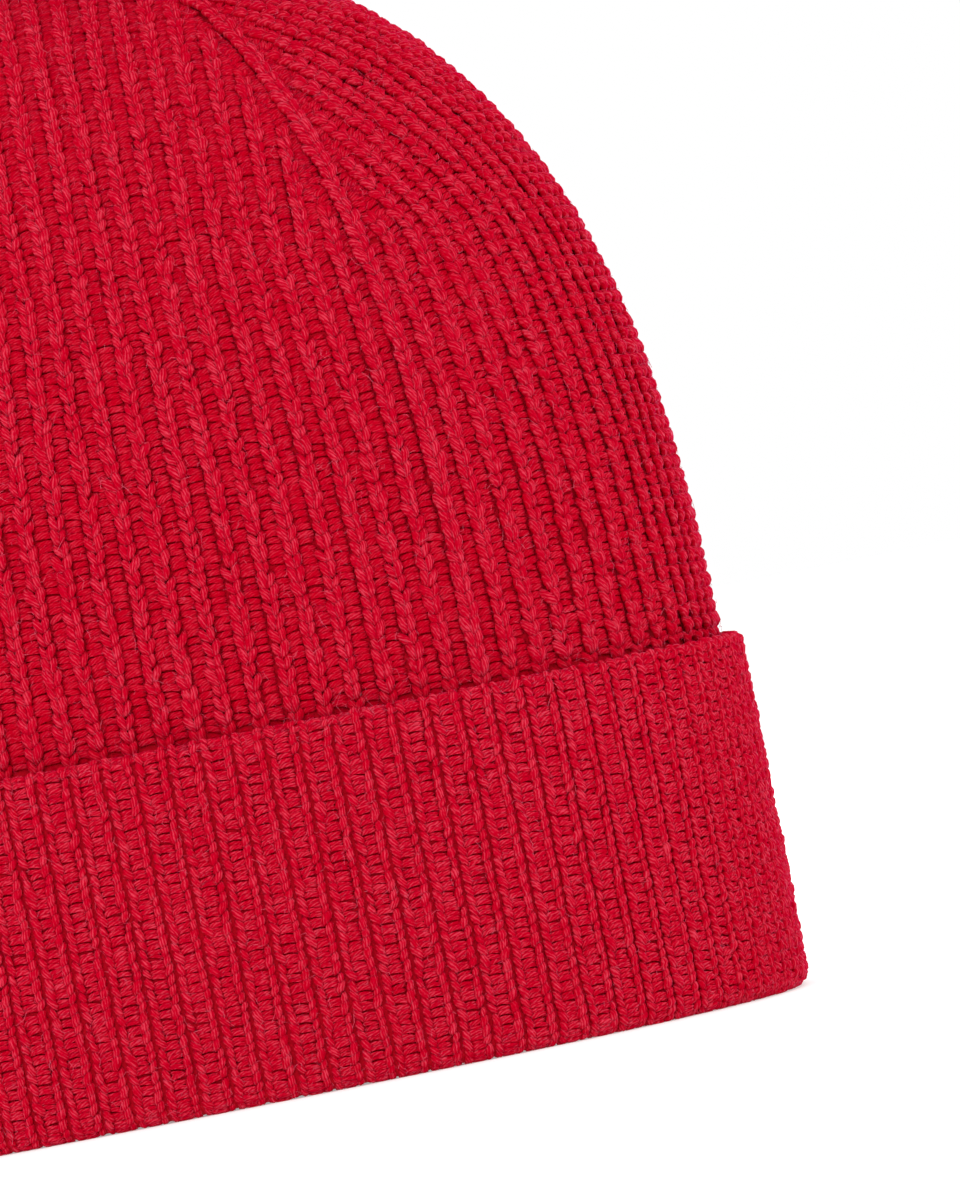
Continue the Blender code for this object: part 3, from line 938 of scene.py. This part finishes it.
def label_thread(material):
    """The row of thread stitches through the label's top edge."""
    lo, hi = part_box("label_stitch")
    centre, (_, _, thick) = centre_and_half("label_stitch")
    yarn = thick * 0.7
    pitch = (hi[0] - lo[0]) / THREAD_STITCHES
    s = np.linspace(-0.5, 0.5, 7)
    parts = []
    for k in range(THREAD_STITCHES):
        x = lo[0] + pitch * (k + 0.5 + 0.86 * s)
        y = centre[1] + 0.35 * MM * (2 * s) ** 4
        z = centre[2] + 0.12 * MM * s
        points = np.stack([x, y, z], axis=1)
        parts.append(strand_part(points, np.array([0.0, -1.0, 0.0]), yarn, sides=YARN_SIDES))
    dress(tube_object("label_thread", parts, material), "hat", "label_stitch")


# --- materials ---
class Graph:
    """Short hands for building a material's nodes."""

    def __init__(self, name):
        self.material = bpy.data.materials.new(name)
        self.material.use_nodes = True
        self.nodes = self.material.node_tree.nodes
        self.links = self.material.node_tree.links
        self.shader = self.nodes["Principled BSDF"]

    def paint(self, colour, **plain):
        """Link the base colour, and set the shader's plain inputs, whose spaces are written _."""
        if colour is not None:
            self.links.new(colour, self.shader.inputs["Base Color"])
        for name, value in plain.items():
            self.shader.inputs[name.replace("_", " ")].default_value = value

    def feed(self, value, socket):
        """Put a number or another node's output into a socket."""
        if isinstance(value, (int, float, tuple)):
            socket.default_value = value
        else:
            self.links.new(value, socket)

    def math(self, kind, a, b=None, clamp=False):
        """A Math node's output."""
        node = self.nodes.new("ShaderNodeMath")
        node.operation = kind
        node.use_clamp = clamp
        self.feed(a, node.inputs[0])
        if b is not None:
            self.feed(b, node.inputs[1])
        return node.outputs[0]

    def plus(self, a, b, clamp=False):
        """The sum of two values."""
        return self.math("ADD", a, b, clamp)

    def times(self, a, b, clamp=False):
        """The product of two values."""
        return self.math("MULTIPLY", a, b, clamp)

    def swing(self, value, gain):
        """A value from 0..1 turned into a swing about zero."""
        return self.times(self.math("SUBTRACT", value, 0.5), gain)

    def vector(self, x, y, z):
        """A Combine XYZ node's output."""
        node = self.nodes.new("ShaderNodeCombineXYZ")
        for value, socket in zip((x, y, z), node.inputs):
            self.feed(value, socket)
        return node.outputs[0]

    def attribute(self, name, output):
        """A mesh attribute's output."""
        node = self.nodes.new("ShaderNodeAttribute")
        node.attribute_name = name
        return node.outputs[output]

    def split(self, vector):
        """The three numbers of a vector."""
        node = self.nodes.new("ShaderNodeSeparateXYZ")
        self.links.new(vector, node.inputs[0])
        return node.outputs

    def noise(self, vector, scale, detail=2.0, roughness=0.6):
        """A noise texture's value."""
        node = self.nodes.new("ShaderNodeTexNoise")
        node.inputs["Scale"].default_value = scale
        node.inputs["Detail"].default_value = detail
        node.inputs["Roughness"].default_value = roughness
        self.links.new(vector, node.inputs["Vector"])
        return node.outputs["Fac"]

    def place(self):
        """Positions on the object, in metres."""
        return self.nodes.new("ShaderNodeTexCoord").outputs["Object"]

    def ramp(self, value, stops):
        """A colour ramp through (position, colour) stops."""
        node = self.nodes.new("ShaderNodeValToRGB")
        elements = node.color_ramp.elements
        while len(elements) < len(stops):
            elements.new(0.5)
        for element, (position, colour) in zip(elements, stops):
            element.position = position
            element.color = (*colour, 1)
        self.links.new(value, node.inputs[0])
        return node.outputs[0]

    def blend(self, factor, low, high):
        """A colour between low and high."""
        node = self.nodes.new("ShaderNodeMix")
        node.data_type = "RGBA"
        self.links.new(factor, node.inputs["Factor"])
        self.feed(low, node.inputs[6])
        self.links.new(high, node.inputs[7])
        return node.outputs[2]

    def bump(self, height, strength, distance):
        """Bump the shader's normal by a height."""
        node = self.nodes.new("ShaderNodeBump")
        self.feed(strength, node.inputs["Strength"])
        node.inputs["Distance"].default_value = distance
        self.links.new(height, node.inputs["Height"])
        self.links.new(node.outputs[0], self.shader.inputs["Normal"])


PLY_SPACING = 0.80  # mm between the plies of the yarn, across them
PLY_LEAN = 0.62  # how far the plies lean over, per unit along the yarn
STRAY_FROM = 1.3  # only stray fibres have a depth beyond this, and it paints a highlight on them
CREASE_DEPTH = 0.40  # painted shade: the wool darkens from this far below the knit's own depth, this fast, towards a deep red
CREASE_SHADE = 1.2  # this fast
CREASE_PAINTED_SHADE = (0.13, 0.0001, 0.0040, 1)


def wool(name, low, high):
    """Soft plied wool, with painted light. low and high are its (gap, yarn, fibre) colours deep
    down
    and on top: deep down a painted shade, redder and more saturated, and on top a painted
    highlight, pinker. The gap colour, between the plies, is a painted shade and the fibre colour a
    painted highlight, mixed with the wool's own random tone from the noises.
    """
    g = Graph(name)
    across, along, tint = g.split(g.attribute("strand", "Vector"))
    depth = g.attribute("depth", "Fac")
    spread = g.plus(across, g.times(along, PLY_LEAN))
    apart = g.times(tint, 37.0)

    wobble_at = g.vector(g.times(across, 0.6), g.times(along, 0.6), apart)
    wobble = g.swing(g.noise(wobble_at, 1.0), 9.0)
    phase = g.plus(g.times(spread, math.tau / PLY_SPACING), wobble)
    ply = g.times(g.math("SINE", phase), 0.30)
    fibre_at = g.vector(g.times(spread, 2.8), g.times(along, 0.8), apart)
    fibre = g.swing(g.noise(fibre_at, 1.0, 3.0, 0.75), 2.4)
    patch = g.swing(g.noise(g.place(), 500.0), 1.2)
    own = g.swing(tint, 0.14)

    # Painted shade between the plies and painted highlight on stray fibres, with random tone.
    streak = g.plus(g.plus(ply, fibre), 0.5)
    stray = g.times(g.math("SUBTRACT", depth, STRAY_FROM, clamp=True), 2.0)
    mix = g.plus(g.plus(streak, stray), g.plus(patch, own))
    stops = (0.0, 0.5, 1.0)
    low_ramp = g.ramp(mix, tuple(zip(stops, low)))
    # Painted shade deep in the knit and painted highlight on top, by the depth.
    colour = g.blend(depth, low_ramp, g.ramp(mix, tuple(zip(stops, high))))
    # Painted shade where the depth is low: the crease behind the cuff, the wales' ends, the
    # undersides of the tubes and the pom pom's middle darken towards a deep red.
    over = g.times(g.plus(depth, CREASE_DEPTH), CREASE_SHADE)
    lit = g.plus(over, 1.0, clamp=True)
    on_yarn = g.math("SUBTRACT", 1.0, g.times(stray, 4.0, clamp=True))
    height = g.plus(ply, g.times(fibre, 0.18))
    g.bump(height, g.times(on_yarn, 0.4), 0.5 * MM)
    g.paint(g.blend(lit, CREASE_PAINTED_SHADE, colour), Roughness=0.95, Specular_IOR_Level=0.0,
            Subsurface_Weight=0.5, Subsurface_Radius=(1.0, 0.60, 0.65), Subsurface_Scale=0.9 * MM)
    return g.material


def inside_wool(name, deep, mid):
    """The backing and the inside face: rows and ribs of the same wool in the material alone.
    Their hollows take the darker colour, a painted shade, mixed with a random tone from noise.
    """
    g = Graph(name)
    across, along, _ = g.split(g.attribute("strand", "Vector"))
    rib = math.tau / (PITCH * BODY_HALF / MM)
    row = math.tau / (BODY_ROW / MM)
    columns = g.math("COSINE", g.times(across, rib))
    slant = g.times(g.math("SINE", g.times(across, 2 * rib)), 1.2)
    rows = g.math("SINE", g.plus(g.times(along, row), slant))
    fine = g.noise(g.place(), 1800.0, 3.0, 0.7)
    knit = g.plus(g.times(columns, 0.10), g.times(rows, 0.16))
    mix = g.plus(g.plus(knit, g.times(fine, 0.7)), 0.12)
    g.bump(mix, 0.8, 0.8 * MM)
    g.paint(g.ramp(mix, ((0.2, deep), (0.8, mid))), Roughness=0.92, Specular_IOR_Level=0.1)
    return g.material


def satin(name, colour, shade):
    """A woven satin tape: fine weft and warp lines."""
    g = Graph(name)
    across, along, _ = g.split(g.attribute("strand", "Vector"))
    weft = g.math("SINE", g.times(along, math.tau / 0.35))
    warp = g.math("SINE", g.times(across, math.tau / 0.5))
    weave = g.plus(g.times(weft, 0.3), g.times(warp, 0.15))
    mix = g.plus(g.plus(weave, 0.4), g.times(g.noise(g.place(), 900.0), 0.3))
    g.bump(weave, 0.3, 0.1 * MM)
    g.paint(g.ramp(mix, ((0.0, shade), (1.0, colour))), Roughness=0.38, Sheen_Weight=0.2)
    return g.material


def thread(name, colour, shade):
    """Twisted polyester thread."""
    g = Graph(name)
    across, along, _ = g.split(g.attribute("strand", "Vector"))
    twist = g.math("SINE", g.times(g.plus(across, along), math.tau / 0.3))
    mix = g.plus(g.times(twist, 0.4), 0.5)
    g.bump(twist, 0.5, 0.1 * MM)
    g.paint(g.ramp(mix, ((0.0, shade), (1.0, colour))), Roughness=0.5)
    return g.material


# --- stage, light and camera ---
FLOOR_HALF = 30.0
FLOOR_WHITE = 0.70
FLOOR_GLOW = 0.36  # brings the floor up to the surround's white


def stage():
    """A plain white floor, a white surround and large soft lights on all four sides."""
    mesh = bpy.data.meshes.new("floor")
    ways = ((-1, -1), (1, -1), (1, 1), (-1, 1))
    corners = [(x * FLOOR_HALF, y * FLOOR_HALF, 0) for x, y in ways]
    mesh.from_pydata(corners, [], [(0, 1, 2, 3)])
    floor = add_object("floor", mesh)
    g = Graph("floor_white")
    g.paint(None, Base_Color=(FLOOR_WHITE, FLOOR_WHITE, FLOOR_WHITE, 1), Roughness=0.9,
            Emission_Color=(1, 1, 1, 1), Emission_Strength=FLOOR_GLOW)
    mesh.materials.append(g.material)

    world = bpy.data.worlds.new("surround")
    bpy.context.scene.world = world
    world.use_nodes = True
    back = world.node_tree.nodes["Background"]
    back.inputs["Color"].default_value = (1, 1, 1, 1)
    back.inputs["Strength"].default_value = 1.0

    lamp_over("key_light", (-0.25, -2.2, 0.85), 1.6, 30.0)
    lamp_over("back_light", (0.30, 2.2, 0.90), 1.6, 26.0)
    for name, side in (("left_light", -2.2), ("right_light", 2.2)):
        lamp_over(name, (side, 0.0, 0.9), 1.6, 11.0)


def lamp_over(name, where, size, power):
    """A square area lamp aimed at the hat's middle."""
    lamp = bpy.data.lights.new(name, "AREA")
    lamp.shape = "SQUARE"
    lamp.size = size
    lamp.energy = power
    obj = add_object(name, lamp)
    obj.location = where
    aim = obj.location.copy()
    aim.z -= CROWN_Z / 2
    obj.rotation_mode = "QUATERNION"
    obj.rotation_quaternion = aim.to_track_quat("Z", "Y")


CAMERA_AT = (0.0600, -2.5, 0.0893)
CAMERA_TURN = math.radians(11.2)  # about the line of sight
VIEW_HEIGHT = 1.2 / 4.91  # metres of the hat from the picture's top to its bottom
SENSOR = 36.0
FAR = 60


def camera():
    """Square on to the wide face, turned so that the hat leans left, close on its right half."""
    data = bpy.data.cameras.new("camera")
    data.sensor_width = SENSOR
    data.lens = SENSOR * -CAMERA_AT[1] / VIEW_HEIGHT
    data.clip_end = FAR
    obj = add_object("camera", data)
    obj.location = CAMERA_AT
    obj.rotation_euler = (math.pi / 2, CAMERA_TURN, 0)
    bpy.context.scene.camera = obj


# --- the object ---
# Painted light: the wool's colours deep in the knit (first) are a painted shade, and those on the
# yarns' tops (second) a painted highlight; each runs gap, yarn, fibre.
RED_PAINTED_SHADE = ((0.415, 0.0001, 0.0083), (0.445, 0.0001, 0.0105), (0.475, 0.0015, 0.0155))
RED_PAINTED_LIGHT = ((0.385, 0.0001, 0.0100), (0.415, 0.0008, 0.0154), (0.535, 0.0355, 0.0660))

stage()
camera()
bpy.context.scene.view_settings.view_transform = "Standard"

WOOL = wool("red_wool", RED_PAINTED_SHADE, RED_PAINTED_LIGHT)
INSIDE = inside_wool("red_wool_inside", RED_PAINTED_SHADE[0], RED_PAINTED_SHADE[1])
YARN = wool("red_sewing_yarn", RED_PAINTED_SHADE, RED_PAINTED_LIGHT)
knit_body(WOOL)
knit_cuff(WOOL)
backing(INSIDE)
pom(WOOL)
gather_yarn(YARN)
knot(YARN)
shank(YARN)
tie(YARN)
back_seam(YARN)
label(satin("label_satin_white", (0.86, 0.84, 0.80), (0.60, 0.58, 0.55)))
label_thread(thread("label_thread_white", (0.80, 0.78, 0.74), (0.50, 0.48, 0.45)))
